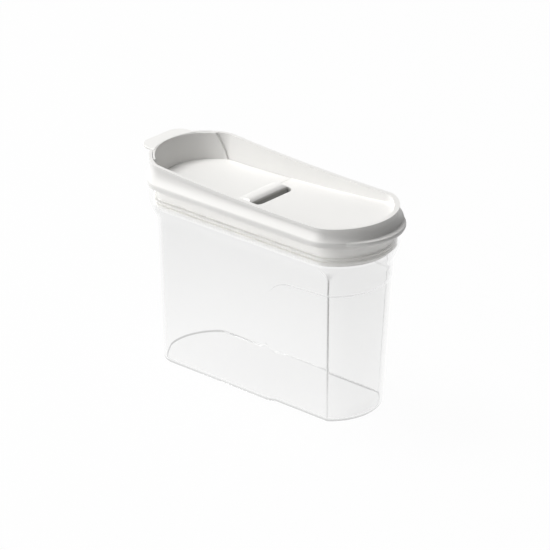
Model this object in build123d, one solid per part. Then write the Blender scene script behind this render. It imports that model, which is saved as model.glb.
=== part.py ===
from build123d import *
import os
from dataclasses import dataclass
from math import asin, cos, degrees, hypot, radians, sin, sqrt, tan

# A cereal keeper: a clear tapered jar and a white lid whose left half is a flip-up flap.
# Millimetres, +Z up, the jar stands on z = 0, the spout end is at -X and the grip end at +X.

FAR = 260.0                  # longer than any cut has to reach

# ---- mouth: the plan line that the lid's rim, its skirt and the jar's collar all follow ----
MOUTH_LEFT = -119.3
MOUTH_RIGHT = 115.6
MOUTH_WIDTH = 92.3
MOUTH_CORNER = 16.0
END_FLATNESS = 4.35          # the ends' plan radius, beyond half the mouth's width
END_RADIUS = MOUTH_WIDTH / 2 + END_FLATNESS

# ---- jar body ----
BASE_HALF_LENGTH = 105.6
BASE_NARROWER = 16.9         # the base is narrower than the mouth
BASE_WIDTH = MOUTH_WIDTH - BASE_NARROWER
BODY_CORNER = 4.0            # the upright creases beside the ends
END_DRAFT = 2.1              # degrees that the ends lean out
SIDE_DRAFT = 0.9
JAR_WALL = 2.0
JAR_FLOOR = 2.4
FOOT_ROUND = 2.5
FOOT_ROUND_INSIDE = 1.2
SHOULDER_BOTTOM = 126.0      # where the body starts to swell into the collar
SHOULDER_TOP = 146.0
SHOULDER_STEPS = (0.15, 0.3, 0.5, 0.7, 0.85, 1.0)
SHOULDER_CREASE = 3          # power that keeps the upright creases sharp low in the swell
JAR_HEIGHT = 160.2
COLLAR_OUT = 1.3             # collar's outer face, out from the mouth line
JAR_LIP_EDGE = 0.5

# ---- grip recess pressed into the right part of the body, deeper towards the foot ----
GRIP_START = 27.0
GRIP_TOP = 117.0             # at the end; along the sides its top edge falls away ...
GRIP_LEVEL_FROM = 92.0       # ... from here ...
GRIP_FALL = 3.2              # ... by this many degrees
GRIP_CORNER = 26.0
GRIP_SIDE_DEPTH = 3.1        # at the foot
GRIP_END_DEPTH = 2.7
GRIP_TOP_DEPTH = 0.4         # all round, at its top


@dataclass(frozen=True)
class Outline:
    """Plan outline with straight sides, rounded corners and bowed ends."""

    left: float
    right: float
    width: float
    end_radius: float
    corner: float

    def offset(self, distance):
        """The outline that runs parallel to this one, outwards."""
        return Outline(self.left - distance, self.right + distance, self.width + 2 * distance,
                       self.end_radius + distance, self.corner + distance)

    def end_half_angle(self):
        """Half the angle that each bowed end turns through, in degrees."""
        return degrees(asin((self.width / 2 - self.corner) / (self.end_radius - self.corner)))

    def corner_centre(self, side_x, side_y):
        """Centre of the corner arc at the end side_x (+1 or -1) and the side side_y."""
        turn = radians(self.end_half_angle())
        reach = self.end_radius - self.corner
        end_centre = (self.right if side_x > 0 else -self.left) - self.end_radius
        return (side_x * (end_centre + reach * cos(turn)), side_y * reach * sin(turn))

    def arcs(self):
        """Each arc as centre, radius, start angle and swept angle, anticlockwise round the plan."""
        half = self.end_half_angle()
        rest = 90.0 - half
        right_end = (self.right - self.end_radius, 0.0)
        left_end = (self.left + self.end_radius, 0.0)
        return [
            (self.corner_centre(1, -1), self.corner, -90.0, rest),
            (right_end, self.end_radius, -half, 2 * half),
            (self.corner_centre(1, 1), self.corner, half, rest),
            (self.corner_centre(-1, 1), self.corner, 90.0, rest),
            (left_end, self.end_radius, 180.0 - half, 2 * half),
            (self.corner_centre(-1, -1), self.corner, 180.0 + half, rest),
        ]

    def wire(self, z):
        """The closed outline at height z."""
        curves = [CenterArc((x, y, z), r, start, size) for (x, y), r, start, size in self.arcs()]
        near_side = Line(curves[5] @ 1, curves[0] @ 0)
        far_side = Line(curves[2] @ 1, curves[3] @ 0)
        return Wire([near_side] + curves[:3] + [far_side] + curves[3:])

    def prism(self, low, high):
        """Upright solid of this outline between two heights."""
        return extrude(Face(self.wire(low)), high - low)

    def ring(self, profile):
        """Solid ring of a section drawn as x = distance outwards from the outline, y = height."""
        parts = []
        for (x, y), radius, start, size in self.arcs():
            turn = radians(start)
            plane = Plane(origin=(x + radius * cos(turn), y + radius * sin(turn), 0),
                          x_dir=(cos(turn), sin(turn), 0), z_dir=(sin(turn), -cos(turn), 0))
            parts.append(revolve(plane * profile, Axis((x, y, 0), (0, 0, 1)), size))
        for side_y in (-1, 1):
            low = self.corner_centre(-1, side_y)[0]
            high = self.corner_centre(1, side_y)[0]
            plane = Plane(origin=(low, side_y * self.width / 2, 0),
                          x_dir=(0, side_y, 0), z_dir=(side_y, 0, 0))
            parts.append(extrude(plane * profile, high - low, dir=(1, 0, 0)))
        return Part() + parts


def body_outline(z):
    """Outside of the jar's body at height z."""
    slope = tan(radians(END_DRAFT))
    half_length = BASE_HALF_LENGTH + z * slope
    return Outline(-half_length, half_length, BASE_WIDTH + 2 * z * tan(radians(SIDE_DRAFT)),
                   END_RADIUS - (SHOULDER_BOTTOM - z) * slope, BODY_CORNER)


def grip_outline(z):
    """The body's outline at height z, pressed in as it is at the grip."""
    full = body_outline(z)
    share = z / GRIP_TOP
    side_in = GRIP_SIDE_DEPTH + (GRIP_TOP_DEPTH - GRIP_SIDE_DEPTH) * share
    end_in = GRIP_END_DEPTH + (GRIP_TOP_DEPTH - GRIP_END_DEPTH) * share
    return Outline(full.left, full.right - end_in, full.width - 2 * side_in,
                   full.end_radius - end_in, BODY_CORNER)


MOUTH = Outline(MOUTH_LEFT, MOUTH_RIGHT, MOUTH_WIDTH, END_RADIUS, MOUTH_CORNER)
COLLAR = MOUTH.offset(COLLAR_OUT)


def mixed(first, second, share, corner_share):
    """Outline part of the way from one outline to another."""
    mix = lambda a, b: a + (b - a) * share
    corner = first.corner + (second.corner - first.corner) * corner_share
    return Outline(mix(first.left, second.left), mix(first.right, second.right),
                   mix(first.width, second.width), mix(first.end_radius, second.end_radius), corner)


def drafted(outline_at, inset, low, high, ends, foot):
    """Block between two heights, set in by inset: leaning sides, cones as ends, soft creases, soft foot."""
    bottom = outline_at(low).offset(-inset)
    top = outline_at(high).offset(-inset)
    left_centre = top.left + top.end_radius if -1 in ends else 0.0
    right_centre = top.right - top.end_radius
    plan = span(left_centre, right_centre, FAR / 2, low, high)
    for side in ends:
        centre = right_centre if side > 0 else left_centre
        turn = Rot(0, 0, 180) if side > 0 else Rot(0, 0, 0)
        cone = Cone(bottom.end_radius, top.end_radius, high - low)
        plan = plan + Pos(centre, 0, (low + high) / 2) * turn * cone
    profile = Polyline((-bottom.width / 2, low), (bottom.width / 2, low), (top.width / 2, high),
                       (-top.width / 2, high), close=True)
    block = plan & extrude(Plane.YZ * make_face(profile), FAR, both=True)
    beyond = [e for e in block.edges() if not left_centre <= e.center().X <= right_centre]
    creases = [e for e in beyond if abs((e @ 1).Z - (e @ 0).Z) > (high - low) / 2]
    block = fillet(creases, top.corner)
    rim = block.faces().sort_by(Axis.Z)[0].edges()
    soften = chamfer if inset else fillet
    return soften([e for e in rim if abs(e.center().X) > inset or e.length > bottom.width], foot)


def grip_region(grow):
    """The space beside the body that the grip takes, spread by grow, as seen from the side."""
    start = GRIP_START - grow
    top = GRIP_TOP + grow
    side_top = top - (GRIP_LEVEL_FROM - start) * tan(radians(GRIP_FALL))
    points = [(start, -FAR), (start, side_top), (GRIP_LEVEL_FROM, top), (FAR, top), (FAR, -FAR)]
    profile = Plane.XZ * make_face(Polyline(*points, close=True))
    corner = profile.vertices().sort_by_distance(Vertex(start, 0, side_top))[0]
    profile = fillet(corner, GRIP_CORNER + grow)
    return extrude(profile, BASE_WIDTH, both=True)


def swell(body_top, inset):
    """The shoulder: from the section on top of the body it swells smoothly to the collar's outline."""
    wires = [body_top.outer_wire()]
    for share in SHOULDER_STEPS:
        z = SHOULDER_BOTTOM + (SHOULDER_TOP - SHOULDER_BOTTOM) * share
        eased = share * share * (3 - 2 * share)
        outline = mixed(body_outline(SHOULDER_BOTTOM), COLLAR, eased, share ** SHOULDER_CREASE)
        wires.append(outline.offset(-inset).wire(z))
    return Solid.make_loft(wires, ruled=False)


def jar_block(inset, low, foot):
    """Everything inside the jar's walls, or with no inset the jar as one block."""
    full = drafted(body_outline, inset, low, SHOULDER_BOTTOM, (-1, 1), foot)
    slim = drafted(grip_outline, inset, low, GRIP_TOP + inset, (1,), foot)
    shoulder = swell(full.faces().sort_by(Axis.Z)[-1], inset)
    collar = COLLAR.offset(-inset).prism(SHOULDER_TOP, JAR_HEIGHT)
    return (full - grip_region(inset)) + slim + shoulder + collar


def jar():
    """Clear moulded jar: drafted body, grip recess, swelling shoulder and upright collar."""
    body = jar_block(0.0, 0.0, FOOT_ROUND) - jar_block(JAR_WALL, JAR_FLOOR, FOOT_ROUND_INSIDE)
    return chamfer(body.faces().sort_by(Axis.Z)[-1].edges(), JAR_LIP_EDGE)


# ---- lid: rim, cove, flange and skirt ----
RIM_LOW_RISE = 14.9          # the rim is bowed: lowest this far above the jar ...
RIM_LOW = JAR_HEIGHT + RIM_LOW_RISE
RIM_LOW_X = 61.5             # ... at this place along the lid
RIM_BOW = 2105.0             # and it rises to both ends on this radius
BEAD_OUT = 0.6
BEAD_HEIGHT = 2.2
BOWL_INSET = 1.7             # bowl's wall, in from the mouth line at BOWL_TOP
BOWL_RISE = 22.7             # the spout end's rim, above the jar
BOWL_TOP = JAR_HEIGHT + BOWL_RISE
BOWL_LEAN = 12.6             # degrees that the bowl's wall leans out
FLANGE_OUT = 4.2
FLANGE_RISE = 4.6            # flange's top, above the jar
FLANGE_TOP = JAR_HEIGHT + FLANGE_RISE
FLANGE_ROUND = 1.2
FLANGE_RUN_OUT = 1.5         # at the spout end the flange stands out only this far ...
FLANGE_FLATTER = 5.5         # ... on an end that is flatter by this radius
COVE_HEIGHT = 9.7
COVE_TOP = FLANGE_TOP + COVE_HEIGHT
COVE_RADIUS = 14.0
REST_GAP = 0.3               # between the jar's lip and the ribs that rest on it
LID_WALL = 1.8
CHANNEL_RISE = 10.8          # hollow under the rim, above the jar
CHANNEL_TOP = JAR_HEIGHT + CHANNEL_RISE
SKIRT_IN = 3.8
SKIRT_WALL = 2.4
SKIRT_DEPTH = 18.6           # how far the skirt reaches down into the jar
SKIRT_BOTTOM = JAR_HEIGHT - SKIRT_DEPTH
WALL_FOOT_DROP = 6.2         # the leaning wall meets the skirt this far below the jar's lip
WALL_FOOT = JAR_HEIGHT - WALL_FOOT_DROP
RIB_WIDTH = 1.6
SIDE_RIBS = 5
LIP_RADIUS = 44.6            # plan radius of the lift lip at the grip end
LIP_BEYOND = 9.1             # how far the lip stands out past the mouth line
LIP_THICK = 4.0
LIP_RISE = 0.4               # the lip's top, above the flange's
LIP_EDGE = 1.5               # its edges are softened over this distance ...
LIP_EDGE_MIDDLE = 0.4        # ... with a facet that stands this far off its corners

# ---- deck, pour opening and its ledge ----
DECK_DROP = 0.2              # the deck is a shallow bow, lowest at the spout end
DECK_LOW = JAR_HEIGHT - DECK_DROP
DECK_LOW_X = -110.0
DECK_BOW = 2100.0
DECK_THICK = 2.0
SEAM_X = -16.0               # where the fixed deck starts
SEAM_GAP = 0.4
SEAM_SWING_GAP = 0.2         # the panel's end is hollowed so that it turns past the deck's edge
POUR_INSET = 12.0
POUR_RIGHT = -24.0
POUR_CORNER = 5.0
SEAL_GAP = 1.2               # height between the flap's panel and the ledge

# ---- flap ----
PANEL_THICK = 2.2
FLAP_GAP = 0.45              # between the flap and the bowl's wall
UPSTAND_WALL = 1.6
UPSTAND_END_TOP = -98.0      # the upstand's sides are cut on a slant between these
UPSTAND_END_FOOT = -85.0
TAB_HALF_WIDTH = 25.5
TAB_REACH = -128.8
TAB_DROP = 0.3               # the tab's top, below the rim's highest point
TAB_TOP = BOWL_TOP - TAB_DROP
TAB_THICK = 2.0
TAB_CORNER = 13.0
TAB_EDGE = 0.5
TAB_GAP = 0.4
PLUG_GAP = 0.7
PLUG_WALL = 1.5
PLUG_DEPTH = 5.5

# ---- hinge ----
HINGE_X = -10.7
HINGE_DROP = 0.7             # the hinge line is this far below the deck's lowest height
HINGE_Z = DECK_LOW - HINGE_DROP
BARREL_RADIUS = 5.6
BARREL_HALF_LENGTH = 23.0
BARREL_GAP = 0.5
BARREL_END_GAP = 0.3
DOME_LENGTH = 11.7           # the knuckle's dome starts on the panel, this far from its crest
KNUCKLE_FLAT = 4.3           # the knuckle ends in a flat face, this far from the hinge line
KNUCKLE_EDGE = 0.5
KNUCKLE_END_ROUND = 4.0
WELL_RIGHT = 2.2             # the well in the deck leaves an open slot beside the flat face
WELL_CORNER = 8.0
PIN_RADIUS = 1.8
PIN_LENGTH = 3.0
PIN_CLEARANCE = 0.05
EAR_WALL = 3.6
TROUGH_WALL = 1.6

# ---- soft seals ----
GROOVE_DEPTH = 1.0
GROOVE_RISE = 2.0            # above the skirt's bottom
GROOVE_HEIGHT = 7.2
GROOVE_BOTTOM = SKIRT_BOTTOM + GROOVE_RISE
FIN_COUNT = 2
FIN_THICK = 0.8
FIN_GAP = 0.3                # between a fin's tip and the collar
FLAP_SEAL_INSET = 8.4
FLAP_SEAL_WIDTH = 2.4
FLAP_SEAL_LIFT = 0.3         # between the flap's seal and the ledge


def bow_cylinder(low_x, low_z, radius, drop=0.0):
    """Everything above a bowed surface, lowered by drop."""
    centre = Pos(low_x, 0, low_z + radius) * Rot(90, 0, 0)
    return centre * Cylinder(radius + drop, FAR)


def above_deck(drop=0.0):
    return bow_cylinder(DECK_LOW_X, DECK_LOW, DECK_BOW, drop)


def above_rim(drop=0.0):
    return bow_cylinder(RIM_LOW_X, RIM_LOW, RIM_BOW, drop)


def deck_height(x):
    """Height of the deck's top at x."""
    return DECK_LOW + DECK_BOW - sqrt(DECK_BOW ** 2 - (x - DECK_LOW_X) ** 2)


def span(low_x, high_x, half_width=FAR / 2, low_z=0.0, high_z=FAR):
    """Box between two places along the lid."""
    size = (high_x - low_x, 2 * half_width, high_z - low_z)
    return Pos((low_x + high_x) / 2, 0, (low_z + high_z) / 2) * Box(*size)


def bowl_inset(z):
    return BOWL_INSET + (BOWL_TOP - z) * tan(radians(BOWL_LEAN))


def bowl(inset):
    """The leaning space inside the bowl's wall, made smaller by inset."""
    low = WALL_FOOT - 2 * LID_WALL
    high = BOWL_TOP + 3 * BEAD_HEIGHT
    wires = [MOUTH.offset(-bowl_inset(z) - inset).wire(z) for z in (low, high)]
    return Solid.make_loft(wires, ruled=True)


def hinge_cylinder(radius, half_length):
    return Pos(HINGE_X, 0, HINGE_Z) * Rot(90, 0, 0) * Cylinder(radius, 2 * half_length)


def pour_plan(inset, right, corner):
    """Plan of the pour opening: the mouth's spout end, cut square at right, with round corners."""
    plan = Face(MOUTH.offset(-inset).wire(0)) & Pos(right - FAR / 2, 0) * Rectangle(FAR, FAR)
    return fillet(plan.vertices().group_by(Axis.X)[-1], corner)


def pour_prism(inset, right, corner):
    return extrude(pour_plan(inset, right, corner), FAR)


def band_section():
    """Section of the lid's outer band: leaning rim wall, cove, flange and skirt."""
    flange_bottom = JAR_HEIGHT + REST_GAP
    cove_drop = COVE_TOP - FLANGE_TOP
    cove_foot = (COVE_RADIUS - sqrt(COVE_RADIUS ** 2 - cove_drop ** 2), FLANGE_TOP)
    half_turn = asin(cove_drop / COVE_RADIUS) / 2
    cove_middle = (COVE_RADIUS * (1 - cos(half_turn)), COVE_TOP - COVE_RADIUS * sin(half_turn))
    top = BOWL_TOP + BEAD_HEIGHT
    skirt_inner = -SKIRT_IN - SKIRT_WALL
    outside = [(-bowl_inset(top), top), (0, top), (0, COVE_TOP)]
    below = [cove_foot, (FLANGE_OUT, FLANGE_TOP - FLANGE_ROUND), (FLANGE_OUT, flange_bottom),
             (-SKIRT_IN, flange_bottom), (-SKIRT_IN, SKIRT_BOTTOM), (skirt_inner, SKIRT_BOTTOM),
             (skirt_inner, WALL_FOOT - LID_WALL), (-bowl_inset(WALL_FOOT), WALL_FOOT),
             (-bowl_inset(top), top)]
    cove = ThreePointArc((0, COVE_TOP), cove_middle, cove_foot)
    return make_face(Wire([*Polyline(*outside).edges(), cove, *Polyline(*below).edges()]))


def channel_section():
    """Section of the hollow under the flange, open downwards."""
    bottom = JAR_HEIGHT + REST_GAP
    wall = lambda z: -bowl_inset(z) + LID_WALL
    cove = lambda z: COVE_RADIUS - sqrt(COVE_RADIUS ** 2 - (COVE_TOP - z) ** 2) - LID_WALL
    shelf = FLANGE_TOP - LID_WALL
    inner_foot = max(wall(bottom), -SKIRT_IN)
    points = [(inner_foot, bottom), (FLANGE_OUT - LID_WALL, bottom), (FLANGE_OUT - LID_WALL, shelf),
              (cove(FLANGE_TOP), FLANGE_TOP), (cove(CHANNEL_TOP), CHANNEL_TOP),
              (wall(CHANNEL_TOP), CHANNEL_TOP)]
    return make_face(Polyline(*points, close=True))


def rest_ribs():
    """Thin slabs across the lid; what they share with the channel are its resting ribs."""
    slabs = []
    straight = MOUTH.corner_centre(1, 1)[0] - MOUTH.corner_centre(-1, 1)[0]
    middle = (MOUTH.corner_centre(1, 1)[0] + MOUTH.corner_centre(-1, 1)[0]) / 2
    pitch = straight / (SIDE_RIBS - 1)
    for index in range(SIDE_RIBS):
        x = middle + (index - (SIDE_RIBS - 1) / 2) * pitch
        slabs.append(Pos(x, 0, FAR / 2) * Box(RIB_WIDTH, FAR, FAR))
    for y in (-MOUTH_WIDTH / 4, 0.0, MOUTH_WIDTH / 4):
        slabs.append(Pos(0, y, FAR / 2) * Box(2 * FAR, RIB_WIDTH, FAR))
    return Part() + slabs


def lift_lip():
    """Crescent that widens the flange at the grip end, for a thumb."""
    top = FLANGE_TOP + LIP_RISE
    bottom = top - LIP_THICK
    near, far = LIP_EDGE_MIDDLE, LIP_EDGE
    points = [(0, bottom), (LIP_RADIUS - far, bottom), (LIP_RADIUS - near, bottom + near),
              (LIP_RADIUS, bottom + far), (LIP_RADIUS, top - far), (LIP_RADIUS - near, top - near),
              (LIP_RADIUS - far, top), (0, top)]
    disc = revolve(Plane.XZ * make_face(Polyline(*points, close=True)), Axis.Z)
    disc = Pos(MOUTH_RIGHT + LIP_BEYOND - LIP_RADIUS, 0, 0) * disc
    return (disc & span(0, FAR)) - MOUTH.offset(FLANGE_OUT - LID_WALL).prism(0, FAR)


def rim_bead():
    """Rolled bead that follows the bowed rim."""
    low = RIM_LOW - 2 * BEAD_HEIGHT
    high = BOWL_TOP + 2 * BEAD_HEIGHT
    section = make_face(Polyline((-bowl_inset(low), low), (BEAD_OUT, low), (BEAD_OUT, high),
                                 (-bowl_inset(high), high), close=True))
    return (MOUTH.ring(section) & above_rim(BEAD_HEIGHT)) - above_rim()


def deck_and_ledge():
    """Bowed deck at the grip end, lower ledge at the spout end and the step that joins them."""
    ledge_drop = PANEL_THICK + SEAL_GAP
    plan = bowl(-LID_WALL / 2)
    web = SEAM_X + DECK_THICK
    deck = ((plan & above_deck(DECK_THICK)) - above_deck()) & span(SEAM_X, FAR)
    ledge = ((plan & above_deck(ledge_drop + DECK_THICK)) - above_deck(ledge_drop)) & span(-FAR, web)
    step = ((plan & above_deck(ledge_drop + DECK_THICK)) - above_deck()) & span(SEAM_X, web)
    return deck + ledge + step


def well(left, grow, half_width, low):
    """Upright block of the well in the deck, round at its two right corners, spread by grow."""
    size = (WELL_RIGHT + grow - left, 2 * half_width)
    block = Pos((WELL_RIGHT + grow + left) / 2, 0, low + FAR / 2) * Box(*size, FAR)
    return fillet(block.edges().filter_by(Axis.Z).group_by(Axis.X)[-1], WELL_CORNER + grow)


def hinge_trough():
    """Closed trough under the deck, with an ear at each end that carries the flap's pins."""
    half = BARREL_HALF_LENGTH + BARREL_END_GAP + EAR_WALL
    radius = BARREL_RADIUS + BARREL_GAP + TROUGH_WALL
    trough = hinge_cylinder(radius, half) + well(HINGE_X, TROUGH_WALL, half, HINGE_Z - radius)
    under_panel = span(-FAR, SEAM_X) & above_deck(PANEL_THICK + SEAL_GAP)
    return trough - above_deck() - under_panel


def hinge_space():
    """Room for the flap's knuckle and pins, and the well in front of the knuckle."""
    half = BARREL_HALF_LENGTH + BARREL_END_GAP
    room = BARREL_RADIUS + BARREL_GAP
    slot = well(SEAM_X - 1, 0.0, half, 0.0) & above_deck(PANEL_THICK + SEAL_GAP)
    pins = hinge_cylinder(PIN_RADIUS + PIN_CLEARANCE, half + PIN_LENGTH)
    return slot + well(HINGE_X, 0.0, half, HINGE_Z - room) + hinge_cylinder(room, half) + pins


def spout_limit(inset):
    """Everything right of the flange's flatter edge at the spout end, which is set in by inset."""
    outline = Outline(MOUTH_LEFT - FLANGE_RUN_OUT + inset, FAR, MOUTH_WIDTH + 2 * FLANGE_OUT,
                      END_RADIUS + FLANGE_FLATTER - inset, MOUTH_CORNER + FLANGE_RUN_OUT)
    return outline.prism(0, FAR)


def lid_frame():
    """White lid moulding."""
    body = MOUTH.ring(band_section()) + lift_lip() + deck_and_ledge() + hinge_trough()
    body = (body - above_rim(BEAD_HEIGHT / 2)) + rim_bead()
    body = body - ((MOUTH.ring(channel_section()) & spout_limit(LID_WALL)) - rest_ribs())
    body = body - pour_prism(POUR_INSET, POUR_RIGHT, POUR_CORNER)
    body = body - hinge_space()
    body = body & spout_limit(0.0)
    notch = span(-FAR, UPSTAND_END_FOOT, TAB_HALF_WIDTH + TAB_GAP, TAB_TOP - TAB_THICK - TAB_GAP)
    groove = Pos(-SKIRT_IN, GROOVE_BOTTOM + GROOVE_HEIGHT / 2) * Rectangle(2 * GROOVE_DEPTH, GROOVE_HEIGHT)
    return body - notch - MOUTH.ring(groove)


def lid_seal():
    """Soft ring in the skirt's groove, with fins that wipe the collar."""
    band = Rectangle(GROOVE_DEPTH, GROOVE_HEIGHT)
    section = Pos(-SKIRT_IN - GROOVE_DEPTH / 2, GROOVE_BOTTOM + GROOVE_HEIGHT / 2) * band
    tip = COLLAR_OUT - JAR_WALL - FIN_GAP
    reach = tip + SKIRT_IN
    pitch = GROOVE_HEIGHT / FIN_COUNT
    for index in range(FIN_COUNT):
        z = GROOVE_BOTTOM + pitch * (index + 0.5)
        section = section + Pos(-SKIRT_IN + reach / 2, z) * Rectangle(reach, FIN_THICK)
    return MOUTH.ring(section)


def upstand_region():
    """Everything on the spout side of the upstand's slanting ends, as seen from the side."""
    foot_z = deck_height(UPSTAND_END_FOOT)
    slope = (UPSTAND_END_TOP - UPSTAND_END_FOOT) / (BOWL_TOP - foot_z)
    points = [(-FAR, 0), (UPSTAND_END_FOOT - slope * foot_z, 0),
              (UPSTAND_END_FOOT + slope * (FAR - foot_z), FAR), (-FAR, FAR)]
    return extrude(Plane.XZ * make_face(Polyline(*points, close=True)), FAR / 2, both=True)


def knuckle():
    """The flap's knuckle: a dome swells from the panel up to its crest, and a flat ends its barrel."""
    start_x = HINGE_X - DOME_LENGTH
    start_z = deck_height(start_x)
    crest_z = HINGE_Z + BARREL_RADIUS
    rise = crest_z - start_z
    dome_radius = (DOME_LENGTH ** 2 + rise ** 2) / (2 * rise)
    middle_x = HINGE_X - DOME_LENGTH / 2
    middle_z = crest_z - dome_radius + sqrt(dome_radius ** 2 - (DOME_LENGTH / 2) ** 2)
    under = deck_height(SEAM_X) - PANEL_THICK
    dome = ThreePointArc((start_x, start_z), (middle_x, middle_z), (HINGE_X, crest_z))
    rest = Polyline((HINGE_X, crest_z), (HINGE_X, under), (start_x, under), (start_x, start_z))
    section = make_face(Wire([*dome.edges(), *rest.edges()])) + Pos(HINGE_X, HINGE_Z) * Circle(BARREL_RADIUS)
    section = section & Pos(HINGE_X + KNUCKLE_FLAT - FAR / 2, HINGE_Z) * Rectangle(FAR, FAR)
    corner = section.vertices().group_by(Axis.X)[-1].sort_by(Axis.Y)[-1]
    section = fillet(corner, KNUCKLE_EDGE)
    body = extrude(Plane.XZ * section, BARREL_HALF_LENGTH, both=True)
    height = 2 * BARREL_RADIUS + KNUCKLE_END_ROUND
    ends = RectangleRounded(2 * BARREL_HALF_LENGTH, height, KNUCKLE_END_ROUND)
    return body & extrude(Plane.YZ * (Pos(0, crest_z - height / 2) * ends), FAR, both=True)


def flap():
    """White flap: panel, upstand, thumb tab, plug ridge and hinge knuckle."""
    inside = bowl(FLAP_GAP)
    panel = (inside & above_deck(PANEL_THICK)) - above_deck()
    wall = (inside - bowl(FLAP_GAP + UPSTAND_WALL)) & upstand_region() & above_deck(PANEL_THICK / 2)
    wall = wall - above_rim()
    tab = Pos((TAB_REACH + UPSTAND_END_FOOT) / 2, 0, TAB_TOP - TAB_THICK / 2) * Box(
        UPSTAND_END_FOOT - TAB_REACH, 2 * TAB_HALF_WIDTH, TAB_THICK)
    tab = fillet(tab.edges().filter_by(Axis.Z).group_by(Axis.X)[0], TAB_CORNER)
    tab = chamfer(tab.faces().sort_by(Axis.Z)[-1].edges() + tab.faces().sort_by(Axis.Z)[0].edges(), TAB_EDGE)
    tab = tab - bowl(FLAP_GAP + UPSTAND_WALL / 2)
    swing = hypot(SEAM_X - HINGE_X, deck_height(SEAM_X) - HINGE_Z) + SEAM_SWING_GAP
    panel = (panel & span(-FAR, SEAM_X - SEAM_GAP)) - hinge_cylinder(swing, FAR / 2)
    body = panel + wall + tab
    ridge = pour_prism(POUR_INSET + PLUG_GAP, POUR_RIGHT - PLUG_GAP, POUR_CORNER)
    plug_inset = PLUG_GAP + PLUG_WALL
    ridge = ridge - pour_prism(POUR_INSET + plug_inset, POUR_RIGHT - plug_inset, POUR_CORNER - PLUG_WALL)
    ridge = (ridge & above_deck(PANEL_THICK + PLUG_DEPTH)) - above_deck(PANEL_THICK)
    body = body + ridge + knuckle()
    return body + hinge_cylinder(PIN_RADIUS, BARREL_HALF_LENGTH + PIN_LENGTH)


def flap_seal():
    """Soft ring under the flap's panel that lands on the ledge."""
    right = POUR_RIGHT + (POUR_INSET - FLAP_SEAL_INSET)
    ring = pour_prism(FLAP_SEAL_INSET, right, POUR_CORNER + FLAP_SEAL_WIDTH)
    ring = ring - pour_prism(FLAP_SEAL_INSET + FLAP_SEAL_WIDTH, right - FLAP_SEAL_WIDTH, POUR_CORNER)
    return (ring & above_deck(PANEL_THICK + SEAL_GAP - FLAP_SEAL_LIFT)) - above_deck(PANEL_THICK)


os.makedirs("parts", exist_ok=True)
PIECES = {"jar": jar, "lid_frame": lid_frame, "lid_seal": lid_seal, "flap": flap, "flap_seal": flap_seal}
for name, make in PIECES.items():
    export_step(make(), f"parts/{name}.step")
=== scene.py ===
import logging
import math
from dataclasses import dataclass, field
from enum import Enum

import bmesh
import bpy
from mathutils import Matrix, Vector

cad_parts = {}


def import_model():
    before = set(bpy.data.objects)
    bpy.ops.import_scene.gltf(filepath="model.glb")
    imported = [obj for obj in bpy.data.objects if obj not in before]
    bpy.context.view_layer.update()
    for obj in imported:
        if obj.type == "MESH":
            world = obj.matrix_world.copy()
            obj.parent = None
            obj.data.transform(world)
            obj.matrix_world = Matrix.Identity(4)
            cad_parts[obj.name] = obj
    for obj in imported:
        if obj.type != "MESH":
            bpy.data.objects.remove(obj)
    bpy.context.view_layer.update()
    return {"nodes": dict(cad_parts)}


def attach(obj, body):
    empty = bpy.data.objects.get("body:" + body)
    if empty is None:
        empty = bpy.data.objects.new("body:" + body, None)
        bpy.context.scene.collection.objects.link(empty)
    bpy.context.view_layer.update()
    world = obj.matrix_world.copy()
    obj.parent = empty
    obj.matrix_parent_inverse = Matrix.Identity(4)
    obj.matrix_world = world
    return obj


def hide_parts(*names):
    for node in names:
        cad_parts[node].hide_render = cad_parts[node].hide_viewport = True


# A cereal keeper: a clear tapered jar, a white lift-off lid, and a flap with a thumb tab that flips up to pour.
# Metres, in the row's frame: +Z up, the spout end at -X, the grip end at +X.

LOG = logging.getLogger("cereal_keeper")
MM = 0.001
PAINTED_LINE_SHADE = "painted_line_shade"      # attribute of painted shade: how dark a round or crease of the clear jar looks

# Where the painted shade on the finishes changes, in metres: each pair is where a change starts and where it is
# complete
BODY_PAINTED_SHADE = (0.0, 0.13)            # heights over which painted shade darkens the clear plastic
COLLAR_CLEARS = (0.125, 0.142)     # heights over which that painted shade ends
END_PAINTED_SHADE = (0.082, 0.1)            # places along the jar over which painted shade darkens its grip end
WELL_TOP = (0.1604, 0.1626)        # heights over which the hinge well's painted shade ends
WELL_LEFT = (-0.0168, -0.0162)
WELL_RIGHT = (0.0022, 0.0028)
WELL_END = (0.0235, 0.0245)        # distances to either side of the middle

# The moulded skin and its scratches; scales are in cells to a metre
GLOSS_FINER = 3.0                  # the gloss varies this many times finer than the colour
GLOSS_SPREAD = (0.35, 0.65)        # noise values with the lowest and the highest roughness
SCRATCH_TURN = (0.4, 0.7, 0.5)     # radians
SCRATCH_STRETCH = (1.0, 22.0, 9.0)
SCRATCH_SCALE = 60.0
SCRATCH_WIDTH = 0.004              # noise values either side of its middle that a scratch takes
PATCH_SCALE = 25.0
PATCH_SPREAD = (0.5, 0.7)          # noise values over which scratches fade in

# Outlines and rings
LEAST_CORNER = 0.1                 # millimetres
CORNER_STEPS = 8                   # points round each corner of an outline
END_STEPS = 44                     # points round each of its bowed ends
MARKED_EDGE_STEPS = (2, 3)         # rings of the grip's top edge that are marked
SEAL_SIDE_STEPS = 12               # points along each straight side of the seal
BAND_ROUND_POINTS = 3              # points round each corner of its band's section
FIN_POINTS = 14                    # points round its fins' section


class Body(Enum):
    """Rigid bodies that the scene's own pieces ride on."""

    JAR = "jar"
    LID = "lid"


class Slot(Enum):
    """Names meant for material slots of the scene's own pieces; the script gives no piece these slots."""

    CLEAR = "jar_clear"
    SEAL = "seal_soft"


# ---------------------------------------------------------------- shader groups


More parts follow.
